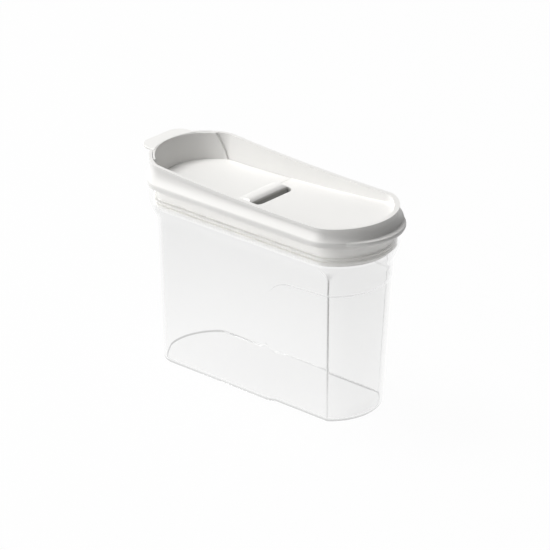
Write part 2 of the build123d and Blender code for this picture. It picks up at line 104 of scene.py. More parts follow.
class NodeSheet:
    """A node tree that is filled by short calls."""

    def __init__(self, tree: bpy.types.NodeTree) -> None:
        """Takes the tree to fill."""
        self.tree = tree

    def add(self, kind: str, **settings: object) -> bpy.types.Node:
        """Adds a node.

        Args:
            kind: Blender's name of the node type.
            settings: attributes of the node.

        Returns:
            The new node.
        """
        node = self.tree.nodes.new(kind)
        for name, value in settings.items():
            setattr(node, name, value)
        return node

    def feed(self, socket: bpy.types.NodeSocket, value: object) -> None:
        """Gives a socket a constant, or links it when the value is itself a socket.

        Args:
            socket: the input to feed.
            value: the constant, or an output.
        """
        if isinstance(value, bpy.types.NodeSocket):
            self.tree.links.new(value, socket)
        else:
            socket.default_value = value

    def filled(self, kind: str, fed: dict[str | int, object], **settings: object) -> bpy.types.Node:
        """Adds a node and feeds its inputs.

        Args:
            kind: Blender's name of the node type.
            fed: constants or sockets, by the input's name or place.
            settings: attributes of the node.

        Returns:
            The new node.
        """
        node = self.add(kind, **settings)
        for key, value in fed.items():
            self.feed(node.inputs[key], value)
        return node

    def use(self, kind: str, fed: dict[str | int, object], **settings: object) -> bpy.types.NodeSocket:
        """Adds a node and feeds its inputs, where only its first output is wanted.

        Args:
            kind: Blender's name of the node type.
            fed: constants or sockets, by the input's name or place.
            settings: attributes of the node.

        Returns:
            The node's first output.
        """
        return self.filled(kind, fed, **settings).outputs[0]

    def maths(self, operation: str, *values: object) -> bpy.types.NodeSocket:
        """Adds a Math node.

        Args:
            operation: Blender's name of the operation.
            values: constants or sockets for its inputs.

        Returns:
            Its output socket.
        """
        return self.use("ShaderNodeMath", dict(enumerate(values)), operation=operation)

    def noise(self, position: bpy.types.NodeSocket, scale: object, detail: float = 2.0,
              rough: float = 0.5) -> bpy.types.NodeSocket:
        """Adds a Noise Texture.

        Args:
            position: coordinates in metres.
            scale: cells in a metre, as a constant or a socket.
            detail: number of octaves.
            rough: weight of the finer octaves.

        Returns:
            Its factor socket.
        """
        return self.use("ShaderNodeTexNoise", {
            "Vector": position, "Scale": scale, "Detail": detail, "Roughness": rough})

    def remap(self, value: bpy.types.NodeSocket, low: object, high: object, start: float = 0.0,
              end: float = 1.0) -> bpy.types.NodeSocket:
        """Maps a value from start..end to low..high, clamped.

        Args:
            value: the socket to map.
            low: result at start.
            high: result at end.
            start: value that gives low.
            end: value that gives high.

        Returns:
            The mapped socket.
        """
        return self.use("ShaderNodeMapRange", {
            "Value": value, "From Min": start, "From Max": end, "To Min": low, "To Max": high})

    def left_after(self, shade: object, share: object) -> bpy.types.NodeSocket:
        """Adds nodes for what a shade leaves: 1 less the shade times its share.

        Args:
            shade: how dark, as a constant or a socket.
            share: how much of the shade is there, as a constant or a socket.

        Returns:
            The factor that is left.
        """
        return self.maths("SUBTRACT", 1.0, self.maths("MULTIPLY", shade, share))

    def scaled(self, colour: bpy.types.NodeSocket, factor: bpy.types.NodeSocket) -> bpy.types.NodeSocket:
        """Multiplies a colour.

        Args:
            colour: the colour.
            factor: what it is multiplied by.

        Returns:
            The new colour.
        """
        return self.use("ShaderNodeVectorMath", {0: colour, "Scale": factor}, operation="SCALE")

    def mixed(self, *sources: bpy.types.NodeSocket) -> bpy.types.NodeSocket:
        """Adds a Mix Shader.

        Args:
            sources: the factor, the shader at factor 0 and the shader at factor 1.

        Returns:
            The mixed shader.
        """
        return self.use("ShaderNodeMixShader", dict(enumerate(sources)))


def declare(tree: bpy.types.NodeTree, way: str, *sockets: tuple[str, str, object]) -> None:
    """Declares named sockets of a node group.

    Args:
        tree: the group.
        way: INPUT or OUTPUT.
        sockets: each one's name, kind and default, which is None where it has none.
    """
    for name, kind, default in sockets:
        socket = tree.interface.new_socket(name=name, in_out=way, socket_type=f"NodeSocket{kind}")
        if default is not None:
            socket.default_value = default


def moulded_surface_group() -> bpy.types.NodeTree:
    """The skin of a moulded part: faint mottling, uneven gloss and a fine orange-peel height."""
    tree = bpy.data.node_groups.new("moulded_surface", "ShaderNodeTree")
    declare(tree, "INPUT", ("Position", "Vector", None), ("Colour", "Color", (0.8, 0.8, 0.8, 1.0)),
            ("Mottle", "Float", 0.02), ("Mottle Scale", "Float", 60.0), ("Low Roughness", "Float", 0.25),
            ("High Roughness", "Float", 0.35), ("Peel Scale", "Float", 900.0))
    declare(tree, "OUTPUT", ("Colour", "Color", None), ("Roughness", "Float", None), ("Height", "Float", None))
    sheet = NodeSheet(tree)
    given = sheet.add("NodeGroupInput").outputs
    finer = sheet.maths("MULTIPLY", given["Mottle Scale"], GLOSS_FINER)
    cloud = sheet.noise(given["Position"], given["Mottle Scale"], detail=4.0)
    gloss = sheet.noise(given["Position"], finer, detail=3.0)
    sheet.filled("NodeGroupOutput", {
        "Colour": sheet.scaled(given["Colour"], sheet.left_after(given["Mottle"], cloud)),
        "Roughness": sheet.remap(gloss, given["Low Roughness"], given["High Roughness"], *GLOSS_SPREAD),
        "Height": sheet.noise(given["Position"], given["Peel Scale"], rough=0.4)})
    return tree


def hairline_wear_group() -> bpy.types.NodeTree:
    """Sparse hairline scratches from washing and stacking, as a mask."""
    tree = bpy.data.node_groups.new("hairline_wear", "ShaderNodeTree")
    declare(tree, "INPUT", ("Position", "Vector", None), ("Amount", "Float", 0.1))
    declare(tree, "OUTPUT", ("Mask", "Float", None))
    sheet = NodeSheet(tree)
    given = sheet.add("NodeGroupInput").outputs
    stretched = sheet.use("ShaderNodeMapping", {
        "Vector": given["Position"], "Rotation": SCRATCH_TURN, "Scale": SCRATCH_STRETCH})
    off = sheet.maths("SUBTRACT", sheet.noise(stretched, SCRATCH_SCALE, detail=1.0), 0.5)
    line = sheet.remap(sheet.maths("ABSOLUTE", off), 1.0, 0.0, 0.0, SCRATCH_WIDTH)
    patch = sheet.remap(sheet.noise(given["Position"], PATCH_SCALE), 0.0, 1.0, *PATCH_SPREAD)
    both = sheet.maths("MULTIPLY", line, patch)
    sheet.filled("NodeGroupOutput", {"Mask": sheet.maths("MULTIPLY", both, given["Amount"])})
    return tree


# ---------------------------------------------------------------- finishes


@dataclass(frozen=True)
class MouldedFinish:
    """A moulded plastic or rubber finish.

    Scales are in cells to a metre and heights in metres. Each shade is painted shade, the share of its light
    that a place loses.
    """

    name: str
    colour: tuple[float, float, float]
    mottle: float
    mottle_scale: float
    roughness: tuple[float, float]
    peel_scale: float
    peel_height: float
    wear: float = 0.0
    transmission: float = 0.0
    refraction: float = 1.49
    lamp_share: float = 0.99          # of a lamp's light that clear plastic lets through
    top_shade: float = 0.0
    end_shade: float = 0.0
    line_shade: float = 0.0
    well_shade: float = 0.0

    def build(self, surface: bpy.types.NodeTree, wear: bpy.types.NodeTree) -> bpy.types.Material:
        """Builds the material.

        Args:
            surface: the moulded_surface group.
            wear: the hairline_wear group.

        Returns:
            The material.
        """
        material = bpy.data.materials.new(self.name)
        material.use_nodes = True
        material.node_tree.nodes.clear()
        sheet = NodeSheet(material.node_tree)
        place = sheet.add("ShaderNodeTexCoord").outputs["Object"]
        skin = sheet.filled("ShaderNodeGroup", {
            "Position": place, "Colour": (*self.colour, 1.0), "Mottle": self.mottle,
            "Mottle Scale": self.mottle_scale, "Low Roughness": self.roughness[0],
            "High Roughness": self.roughness[1], "Peel Scale": self.peel_scale}, node_tree=surface).outputs
        scratches = sheet.use("ShaderNodeGroup", {"Position": place, "Amount": self.wear}, node_tree=wear)
        bump = sheet.use("ShaderNodeBump", {"Strength": 1.0, "Distance": self.peel_height, "Height": skin["Height"]})
        colour = skin["Colour"]
        if self.transmission:
            colour = self.paint_clear_shade(sheet, place, colour)
        if self.well_shade:
            colour = self.shade_well(sheet, place, colour)
        shader = sheet.use("ShaderNodeBsdfPrincipled", {
            "Base Color": colour, "Roughness": sheet.maths("ADD", skin["Roughness"], scratches), "Normal": bump,
            "IOR": self.refraction, "Transmission Weight": self.transmission})
        if self.transmission:
            shader = self.let_lamps_through(sheet, shader)
        sheet.filled("ShaderNodeOutputMaterial", {"Surface": shader})
        return material

    def paint_clear_shade(self, sheet: NodeSheet, place: bpy.types.NodeSocket,
               colour: bpy.types.NodeSocket) -> bpy.types.NodeSocket:
        """Paints shade on clear plastic: darker upwards and towards its grip end, and along its marked lines.

        Args:
            sheet: the material's sheet.
            place: object coordinates.
            colour: the colour so far.

        Returns:
            The colour with its painted shade.
        """
        parts = sheet.filled("ShaderNodeSeparateXYZ", {0: place})
        body = sheet.remap(parts.outputs["Z"], 1.0, 1.0 - self.top_shade, *BODY_PAINTED_SHADE)
        top = sheet.maths("MAXIMUM", body, sheet.remap(parts.outputs["Z"], 0.0, 1.0, *COLLAR_CLEARS))
        end = sheet.remap(parts.outputs["X"], 1.0, 1.0 - self.end_shade, *END_PAINTED_SHADE)
        line = sheet.add("ShaderNodeAttribute", attribute_name=PAINTED_LINE_SHADE)
        edge = sheet.left_after(line.outputs["Fac"], self.line_shade)
        return sheet.scaled(colour, sheet.maths("MULTIPLY", sheet.maths("MULTIPLY", top, end), edge))

    def shade_well(self, sheet: NodeSheet, place: bpy.types.NodeSocket,
                  colour: bpy.types.NodeSocket) -> bpy.types.NodeSocket:
        """Paints shade over what lies down in the hinge well, which is wider in the solids than the real one looks.

        Args:
            sheet: the material's sheet.
            place: object coordinates.
            colour: the colour so far.

        Returns:
            The colour with the painted shade.
        """
        parts = sheet.filled("ShaderNodeSeparateXYZ", {0: place})
        deep = sheet.remap(parts.outputs["Z"], 1.0, 0.0, *WELL_TOP)
        left = sheet.remap(parts.outputs["X"], 0.0, 1.0, *WELL_LEFT)
        right = sheet.remap(parts.outputs["X"], 1.0, 0.0, *WELL_RIGHT)
        across = sheet.remap(sheet.maths("ABSOLUTE", parts.outputs["Y"]), 1.0, 0.0, *WELL_END)
        inside = sheet.maths("MULTIPLY", sheet.maths("MULTIPLY", deep, left), sheet.maths("MULTIPLY", right, across))
        return sheet.scaled(colour, sheet.left_after(inside, self.well_shade))

    def let_lamps_through(self, sheet: NodeSheet, shader: bpy.types.NodeSocket) -> bpy.types.NodeSocket:
        """Lets lamps shine through clear plastic, and light that is caught inside its wall out again.

        Args:
            sheet: the material's sheet.
            shader: the clear shader's output.

        Returns:
            The output that mixes in a clear way for both.
        """
        path = sheet.add("ShaderNodeLightPath").outputs
        share = self.lamp_share
        clear = sheet.use("ShaderNodeBsdfTransparent", {"Color": (share, share, share, 1.0)})
        result = shader
        # A diffuse bounce counts as a reflection ray too, so it is given the plastic back
        for kind, taken in (("Is Reflection Ray", clear), ("Is Diffuse Ray", shader), ("Is Shadow Ray", clear)):
            result = sheet.mixed(path[kind], result, taken)
        return result


# clear plastic with painted shade: darker upwards, towards its grip end and along its rounds and creases
CLEAR_PLASTIC = MouldedFinish(
    name="clear_jar_plastic", colour=(0.976, 0.976, 0.974), mottle=0.01, mottle_scale=40.0, roughness=(0.0, 0.02),
    peel_scale=220.0, peel_height=2e-6, wear=0.12, transmission=1.0, refraction=1.4, top_shade=0.068,
    end_shade=0.05, line_shade=0.8)
# white plastic with painted shade in the hinge well
WHITE_PLASTIC = MouldedFinish(
    name="white_lid_plastic", colour=(0.89, 0.882, 0.862), mottle=0.015, mottle_scale=30.0, roughness=(0.33, 0.38),
    peel_scale=900.0, peel_height=1.5e-6, wear=0.1, well_shade=0.5)
SOFT_SEAL = MouldedFinish(
    name="soft_seal_rubber", colour=(0.875, 0.868, 0.845), mottle=0.03, mottle_scale=90.0, roughness=(0.5, 0.6),
    peel_scale=1600.0, peel_height=4e-6)


# ---------------------------------------------------------------- sub-assemblies


def put_in_scene(name: str, data: bpy.types.ID) -> bpy.types.Object:
    """Makes an object of its data and links it.

    Args:
        name: the object's name.
        data: its mesh, lamp or camera.

    Returns:
        The new object.
    """
    made = bpy.data.objects.new(name, data)
    bpy.context.scene.collection.objects.link(made)
    return made


def dress(piece: bpy.types.Object, material: bpy.types.Material) -> None:
    """Puts one material over a whole piece.

    Args:
        piece: the piece.
        material: its only material.
    """
    piece.data.materials.clear()
    piece.data.materials.append(material)


@dataclass
class Workshop:
    """The frame's nodes and the built materials."""

    nodes: dict[str, bpy.types.Object]
    clear: bpy.types.Material = field(init=False)
    white: bpy.types.Material = field(init=False)
    seal: bpy.types.Material = field(init=False)

    def __post_init__(self) -> None:
        """Builds the shader groups and the finishes once."""
        surface = moulded_surface_group()
        wear = hairline_wear_group()
        self.clear = CLEAR_PLASTIC.build(surface, wear)
        self.white = WHITE_PLASTIC.build(surface, wear)
        self.seal = SOFT_SEAL.build(surface, wear)


@dataclass(frozen=True)
class Outline:
    """Plan outline with straight sides, rounded corners and bowed ends, in millimetres."""

    left: float
    right: float
    width: float
    end_radius: float
    corner: float                     # radius beside the grip end
    left_corner: float                # radius beside the spout end

    def grown(self, distance: float) -> "Outline":
        """The outline that runs parallel to this one, outwards."""
        return Outline(self.left - distance, self.right + distance, self.width + 2 * distance,
                       self.end_radius + distance, max(self.corner + distance, LEAST_CORNER),
                       max(self.left_corner + distance, LEAST_CORNER))

    def swing(self, corner: float) -> tuple[float, float, float]:
        """Where a corner meets the bowed end.

        Args:
            corner: the corner's radius.

        Returns:
            The angle from the end's middle, the corner's distance from the end's centre, and its offset in Y.
        """
        reach = self.end_radius - corner
        turn = math.asin((self.width / 2 - corner) / reach)
        return turn, reach, reach * math.sin(turn)

    def toward(self, other: "Outline", share: float, corner_share: float) -> "Outline":
        """The outline part of the way to another one.

        Args:
            other: the outline to go towards.
            share: how far to go, 0 to 1.
            corner_share: how far the corners go.

        Returns:
            The mixed outline.
        """
        mix = [a + (b - a) * share for a, b in zip(
            (self.left, self.right, self.width, self.end_radius),
            (other.left, other.right, other.width, other.end_radius))]
        return Outline(*mix, self.corner + (other.corner - self.corner) * corner_share,
                       self.left_corner + (other.left_corner - self.left_corner) * corner_share)

    def points(self, side_shares: list[float]) -> list[Vector]:
        """Points anticlockwise round the outline, the same number for every outline.

        Args:
            side_shares: places along a straight side, from the spout end's 0 to the grip end's 1.

        Returns:
            Plan points, from the near side's first place on.
        """
        turn, reach, high = self.swing(self.corner)
        left_turn, left_reach, left_high = self.swing(self.left_corner)
        right_end = self.right - self.end_radius
        left_end = self.left + self.end_radius
        right_x = right_end + reach * math.cos(turn)
        left_x = left_end - left_reach * math.cos(left_turn)
        ring = []

        def side(y: float, shares: list[float]) -> None:
            """Adds points of a straight side.

            Args:
                y: the side's place across.
                shares: places along it.
            """
            for share in shares:
                ring.append(Vector((left_x + (right_x - left_x) * share, y, 0.0)))

        def arc(x: float, y: float, radius: float, start: float, sweep: float, steps: int) -> None:
            """Adds an arc's points, without its last one.

            Args:
                x: the centre's place along.
                y: the centre's place across.
                radius: the arc's radius.
                start: angle of its first point.
                sweep: angle that it turns through.
                steps: number of points.
            """
            for step in range(steps):
                angle = start + sweep * step / steps
                ring.append(Vector((x + radius * math.cos(angle), y + radius * math.sin(angle), 0.0)))

        quarter = math.pi / 2
        side(-self.width / 2, side_shares)
        arc(right_x, -high, self.corner, -quarter, quarter - turn, CORNER_STEPS)
        arc(right_end, 0.0, self.end_radius, -turn, 2 * turn, END_STEPS)
        arc(right_x, high, self.corner, turn, quarter - turn, CORNER_STEPS)
        side(self.width / 2, [1.0] + side_shares[:0:-1])
        arc(left_x, left_high, self.left_corner, quarter, quarter - left_turn, CORNER_STEPS)
        arc(left_end, 0.0, self.end_radius, 2 * quarter - left_turn, 2 * left_turn, END_STEPS)
        arc(left_x, -left_high, self.left_corner, 2 * quarter + left_turn, quarter - left_turn, CORNER_STEPS)
        return ring


def smooth_step(value: float) -> float:
    """Eases 0 to 1, clamped."""
    value = min(max(value, 0.0), 1.0)
    return value * value * (3.0 - 2.0 * value)


# The jar's mouth line, which the collar, the lid's skirt and the seal follow
MOUTH = Outline(left=-119.3, right=115.6, width=92.3, end_radius=50.5, corner=16.0, left_corner=16.0)

# Places along the jar's straight sides: close together where the grip starts
SIDE_SHARES = ([0.02 * step for step in range(30)] + [0.6 + 0.14 * step / 26 for step in range(26)]
               + [0.74 + 0.26 * step / 16 for step in range(16)])


def shell_of_rings(name: str, rings: list[list[Vector]]) -> bpy.types.Object:
    """Skins closed rings of points, in millimetres, and caps the first and the last one.

    Args:
        name: the piece's name.
        rings: rings with the same number of points, anticlockwise seen from above where they go up outside.

    Returns:
        The new piece, in metres.
    """
    count = len(rings[0])
    faces = []
    for row in range(len(rings) - 1):
        for index in range(count):
            after = (index + 1) % count
            low, high = row * count, (row + 1) * count
            faces.append((low + index, low + after, high + after, high + index))
    faces.append(tuple(reversed(range(count))))
    faces.append(tuple(range((len(rings) - 1) * count, len(rings) * count)))
    mesh = bpy.data.meshes.new(name)
    mesh.from_pydata([point * MM for ring in rings for point in ring], [], faces)
    mesh.shade_smooth()
    return put_in_scene(name, mesh)


@dataclass
class Skin:
    """One skin of the jar, from its floor up: rings of points, and the painted shade of each point."""

    rings: list[list[Vector]] = field(default_factory=list)
    dark: list[list[float]] = field(default_factory=list)

    def add(self, ring: list[Vector], marks: list[float]) -> None:
        """Adds the next ring up.

        Args:
            ring: its points.
            marks: how dark each of them looks.
        """
        self.rings.append(ring)
        self.dark.append(marks)


@dataclass
class Jar:
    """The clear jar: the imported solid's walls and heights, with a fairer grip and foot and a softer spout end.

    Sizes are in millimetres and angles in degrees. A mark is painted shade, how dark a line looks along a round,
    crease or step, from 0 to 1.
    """

    shop: Workshop
    base_left: float = -108.0         # the body's outside at the foot
    base_right: float = 105.6
    base_width: float = 75.4
    body_corner: float = 4.0
    left_corner: float = 18.0
    left_draft: float = 1.4
    end_draft: float = 2.1
    side_draft: float = 0.9
    wall: float = 2.0
    floor: float = 2.4
    foot_round: float = 3.2
    foot_round_inside: float = 1.6
    shoulder_bottom: float = 126.0
    shoulder_top: float = 146.0
    shoulder_crease: float = 3.0
    height: float = 160.2
    collar_out: float = 1.3
    lip_round: float = 0.5
    grip_start: float = 23.0
    grip_fade: float = 10.0           # length over which the grip sinks in
    grip_top: float = 114.6           # its top edge at the end ...
    grip_level_from: float = 92.0     # ... which falls from here towards the spout end ...
    grip_fall: float = 3.2
    grip_corner: float = 26.0         # ... and turns down on this radius ...
    grip_corner_left: float = 22.0    # ... over this length
    grip_side_depth: float = 3.1
    grip_end_depth: float = 2.3
    grip_top_depth: float = 0.5
    grip_step: float = 1.2            # height over which the grip's top edge steps out
    foot_mark: float = 0.75
    foot_mark_inside: float = 0.35
    step_mark: float = 0.35
    crease_low: float = 0.3
    crease_on_step: float = 0.7       # mark of the creases across the grip's top edge
    crease_width: float = 3.0         # points to either side that a crease's mark takes
    crease_full: int = 13             # wall rings up to where a crease's mark is full
    crease_gone: int = 15             # swell rings up to where it is gone
    crease_drift: int = 10            # swell rings over which it moves half a corner towards the end
    step_mark_length: float = 20.0    # length over which the grip edge's mark comes in
    fade_depth: float = 0.65          # how much of the foot's mark is lost beside the start of the grip
    fade_start: float = -80.0         # place along the jar where that starts ...
    fade_in: float = 40.0             # ... and the length after which it is full
    fade_stop: float = 40.0           # place where it ends ...
    fade_out: float = 25.0            # ... and the length before it over which it goes
    floor_lap: float = 1.0            # from the foot's round in to the floor's first ring
    foot_steps: int = 8
    grip_steps: int = 18
    edge_steps: int = 4
    upper_steps: int = 5
    swell_steps: int = 24
    collar_steps: int = 3
    lip_steps: int = 8

    @property
    def ring_size(self) -> int:
        """Number of points in each ring."""
        return 2 * (len(SIDE_SHARES) + 2 * CORNER_STEPS + END_STEPS)

    def body(self, z: float) -> Outline:
        """Outside of the drafted body at height z."""
        slope = math.tan(math.radians(self.end_draft))
        left = self.base_left - z * math.tan(math.radians(self.left_draft))
        width = self.base_width + 2 * z * math.tan(math.radians(self.side_draft))
        end_radius = MOUTH.end_radius - (self.shoulder_bottom - z) * slope
        return Outline(left, self.base_right + z * slope, width, end_radius, self.body_corner, self.left_corner)

    def pressed(self, z: float) -> Outline:
        """Outside of the body at height z where the grip is pressed in."""
        full = self.body(z)
        share = z / self.grip_top
        side_in = self.grip_side_depth + (self.grip_top_depth - self.grip_side_depth) * share
        end_in = self.grip_end_depth + (self.grip_top_depth - self.grip_end_depth) * share
        return Outline(full.left, full.right - end_in, full.width - 2 * side_in, full.end_radius - end_in,
                       full.corner, full.left_corner)

    def swollen(self, share: float) -> Outline:
        """Outside of the shoulder, part of the way from the body to the collar."""
        collar = MOUTH.grown(self.collar_out)
        return self.body(self.shoulder_bottom).toward(collar, smooth_step(share), share ** self.shoulder_crease)

    def grip_line(self, x: float) -> float:
        """Height of the grip's top edge at x."""
        line = self.grip_top - max(self.grip_level_from - x, 0.0) * math.tan(math.radians(self.grip_fall))
        into = min(max(self.grip_start + self.grip_corner - x, 0.0), self.grip_corner_left)
        return line - self.grip_corner + math.sqrt(self.grip_corner ** 2 - into ** 2)

    def wall_ring(self, heights: list[float], inset: float, press: float) -> list[Vector]:
        """A ring on the body's upright walls.

        Args:
            heights: each point's height.
            inset: distance inside the jar's outer skin.
            press: share of the grip's depth that the ring takes.

        Returns:
            The ring's points.
        """
        bottoms = [at(0.0).grown(-inset).points(SIDE_SHARES) for at in (self.body, self.pressed)]
        tops = [at(self.grip_top).grown(-inset).points(SIDE_SHARES) for at in (self.body, self.pressed)]
        ring = []
        for index, z in enumerate(heights):
            full, slim = (low[index].lerp(high[index], z / self.grip_top) for low, high in zip(bottoms, tops))
            into = press * smooth_step((full.x - self.grip_start) / self.grip_fade)
            place = full.lerp(slim, into)
            ring.append(Vector((place.x, place.y, z)))
        return ring

    def marks(self, ring_mark: float, crease_mark: float, toward_end: float = 0.0) -> list[float]:
        """Painted shade: how dark each point of a ring looks.

        Args:
            ring_mark: darkness all round.
            crease_mark: darkness in the middle of the two upright creases at the grip end.
            toward_end: steps that the creases' dark line lies towards the end.

        Returns:
            One value for each point.
        """
        first = len(SIDE_SHARES) + CORNER_STEPS / 2
        second = first + CORNER_STEPS + END_STEPS
        values = []
        for index in range(self.ring_size):
            off = min(abs(index - first - toward_end), abs(index - second + toward_end))
            values.append(max(ring_mark, crease_mark * max(1.0 - off / self.crease_width, 0.0)))
        return values

    def foot_fade(self, point: Vector) -> float:
        """Share of its painted shade that the foot keeps at a point: less on both sides, beside the start of the
        grip.
        """
        fading = smooth_step((point.x - self.fade_start) / self.fade_in)
        return 1.0 - self.fade_depth * fading * smooth_step((self.fade_stop - point.x) / self.fade_out)

    def add_foot(self, skin: Skin, inset: float, low: float, foot: float, foot_mark: float) -> None:
        """Adds the floor's ring and the round up from it.

        Args:
            skin: the skin so far.
            inset: distance inside the outer skin.
            low: height of the skin's floor.
            foot: radius round the floor.
            foot_mark: mark of that round.
        """
        flat = [low] * self.ring_size
        skin.add(self.wall_ring(flat, inset + foot + self.floor_lap, 1.0), self.marks(0.0, 0.0))
        for step in range(self.foot_steps + 1):
            turn = math.pi / 2 * step / self.foot_steps
            level = [low + foot * (1 - math.cos(turn))] * self.ring_size
            ring = self.wall_ring(level, inset + foot * (1 - math.sin(turn)), 1.0)
            marks = self.marks(foot_mark * math.sin(2 * turn) ** 2, self.crease_low * step / self.foot_steps)
            skin.add(ring, [value * self.foot_fade(point) for value, point in zip(marks, ring)])

    def add_walls(self, skin: Skin, inset: float, start: float) -> None:
        """Adds the upright walls: the pressed grip, its top edge, and the plain wall above that.

        Args:
            skin: the skin so far.
            inset: distance inside the outer skin.
            start: height of the skin's last ring.
        """
        lines = [self.grip_line(point.x) for point in self.body(self.grip_top).points(SIDE_SHARES)]
        under = self.grip_step / 2
        for step in range(1, self.grip_steps + 1):
            heights = [start + (line - under - start) * step / self.grip_steps for line in lines]
            crease = self.crease_low + (1.0 - self.crease_low) * smooth_step(step / self.crease_full)
            skin.add(self.wall_ring(heights, inset, 1.0), self.marks(0.0, crease))
        for step in range(1, self.edge_steps + 1):
            rise = self.grip_step * step / self.edge_steps - under
            ring = self.wall_ring([line + rise for line in lines], inset, 1.0 - smooth_step(step / self.edge_steps))
            marks = self.marks(self.step_mark if step in MARKED_EDGE_STEPS else 0.0, self.crease_on_step)
            here = [smooth_step((point.x - self.grip_start) / self.step_mark_length) for point in ring]
            skin.add(ring, [value * share for value, share in zip(marks, here)])
        for step in range(1, self.upper_steps + 1):
            heights = [line + under + (self.shoulder_bottom - line - under) * step / self.upper_steps
                       for line in lines]
            skin.add(self.wall_ring(heights, inset, 0.0), self.marks(0.0, 1.0))

    def add_top(self, skin: Skin, inset: float) -> None:
        """Adds the swelling shoulder and the upright collar.

        Args:
            skin: the skin so far.
            inset: distance inside the outer skin.
        """
        for step in range(1, self.swell_steps + 1):
            z = self.shoulder_bottom + (self.shoulder_top - self.shoulder_bottom) * step / self.swell_steps
            outline = self.swollen(step / self.swell_steps).grown(-inset)
            drift = CORNER_STEPS / 2 * step / self.crease_drift
            skin.add([point + Vector((0.0, 0.0, z)) for point in outline.points(SIDE_SHARES)],
                     self.marks(0.0, 1.0 - smooth_step(step / self.crease_gone), drift))
        lift = Vector((0.0, 0.0, (self.height - self.lip_round - self.shoulder_top) / self.collar_steps))
        for _ in range(self.collar_steps):
            skin.add([point + lift for point in skin.rings[-1]], self.marks(0.0, 0.0))

    def skin(self, inset: float, low: float, foot: float, foot_mark: float) -> Skin:
        """One skin of the jar, from the middle of its floor up to just below the lip.

        Args:
            inset: distance inside the outer skin.
            low: height of the skin's floor.
            foot: radius round the floor.
            foot_mark: mark of that round.

        Returns:
            The skin, whose rings all have the same number of points.
        """
        skin = Skin()
        self.add_foot(skin, inset, low, foot, foot_mark)
        self.add_walls(skin, inset, low + foot)
        self.add_top(skin, inset)
        return skin

    def lip(self, outer: list[Vector], inner: list[Vector]) -> list[list[Vector]]:
        """Rings that round the lip over from the outer skin's top ring to the inner one's.

        Args:
            outer: top ring of the outer skin.
            inner: top ring of the inner skin.

        Returns:
            The rings between the two.
        """
        rings = []
        for step in range(1, self.lip_steps):
            turn = math.pi * step / self.lip_steps
            rise = Vector((0.0, 0.0, self.lip_round * math.sqrt(math.sin(turn))))
            rings.append([a.lerp(b, (1 - math.cos(turn)) / 2) + rise for a, b in zip(outer, inner)])
        return rings

    def build(self) -> None:
        """Makes the jar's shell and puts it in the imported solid's place."""
        outer = self.skin(0.0, 0.0, self.foot_round, self.foot_mark)
        inner = self.skin(self.wall, self.floor, self.foot_round_inside, self.foot_mark_inside)
        lip = self.lip(outer.rings[-1], inner.rings[-1])
        rings = outer.rings + lip + inner.rings[::-1]
        dark = outer.dark + [[0.0] * self.ring_size for _ in lip] + inner.dark[::-1]
        piece = shell_of_rings("jar_shell", rings)
        # painted shade along the jar's rounds, creases and grip edge, kept as an attribute
        caught = piece.data.attributes.new(PAINTED_LINE_SHADE, "FLOAT", "POINT")
        caught.data.foreach_set("value", [value for row in dark for value in row])
        dress(piece, self.shop.clear)
        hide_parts("jar")
        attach(piece, Body.JAR.value)
        LOG.info("jar: %d rings of %d points", len(rings), len(rings[0]))


def band_section(sheet: NodeSheet, given: bpy.types.bpy_prop_collection) -> bpy.types.NodeSocket:
    """Section of the seal's band: a soft-cornered rectangle.

    Args:
        sheet: the tree's sheet.
        given: the tree's inputs.

    Returns:
        The section's curve.
    """
    block = sheet.use("GeometryNodeCurvePrimitiveQuadrilateral", {
        "Width": given["Band Thickness"], "Height": given["Band Height"]}, mode="RECTANGLE")
    return sheet.use("GeometryNodeFilletCurve", {
        "Curve": block, "Count": BAND_ROUND_POINTS, "Radius": given["Edge Round"]}, mode="POLY")


def fin_section(sheet: NodeSheet, given: bpy.types.bpy_prop_collection) -> bpy.types.NodeSocket:
    """Section of a fin: a flat ellipse that reaches out from the band's middle.

    Args:
        sheet: the tree's sheet.
        given: the tree's inputs.

    Returns:
        The section's curve.
    """
    blade = sheet.use("GeometryNodeCurvePrimitiveCircle", {"Resolution": FIN_POINTS, "Radius": 0.5}, mode="RADIUS")
    reach = given["Fin Reach"]
    return sheet.use("GeometryNodeTransform", {
        "Geometry": blade,
        "Scale": sheet.use("ShaderNodeCombineXYZ", {"X": reach, "Y": given["Fin Thickness"], "Z": 1.0}),
        "Translation": sheet.use("ShaderNodeCombineXYZ", {"X": sheet.maths("MULTIPLY", reach, 0.5)})})


def fin_rows(sheet: NodeSheet, given: bpy.types.bpy_prop_collection) -> bpy.types.NodeSocket:
    """One point for each fin, spaced evenly over the band's height.

    Args:
        sheet: the tree's sheet.
        given: the tree's inputs.

    Returns:
        The points.
    """
    pitch = sheet.maths("DIVIDE", given["Band Height"], given["Fin Count"])
    lowest = sheet.maths("MULTIPLY", sheet.maths("SUBTRACT", given["Band Height"], pitch), -0.5)
    return sheet.use("GeometryNodeMeshLine", {
        "Count": given["Fin Count"], "Start Location": sheet.use("ShaderNodeCombineXYZ", {"Z": lowest}),
        "Offset": sheet.use("ShaderNodeCombineXYZ", {"Z": pitch})}, mode="OFFSET")


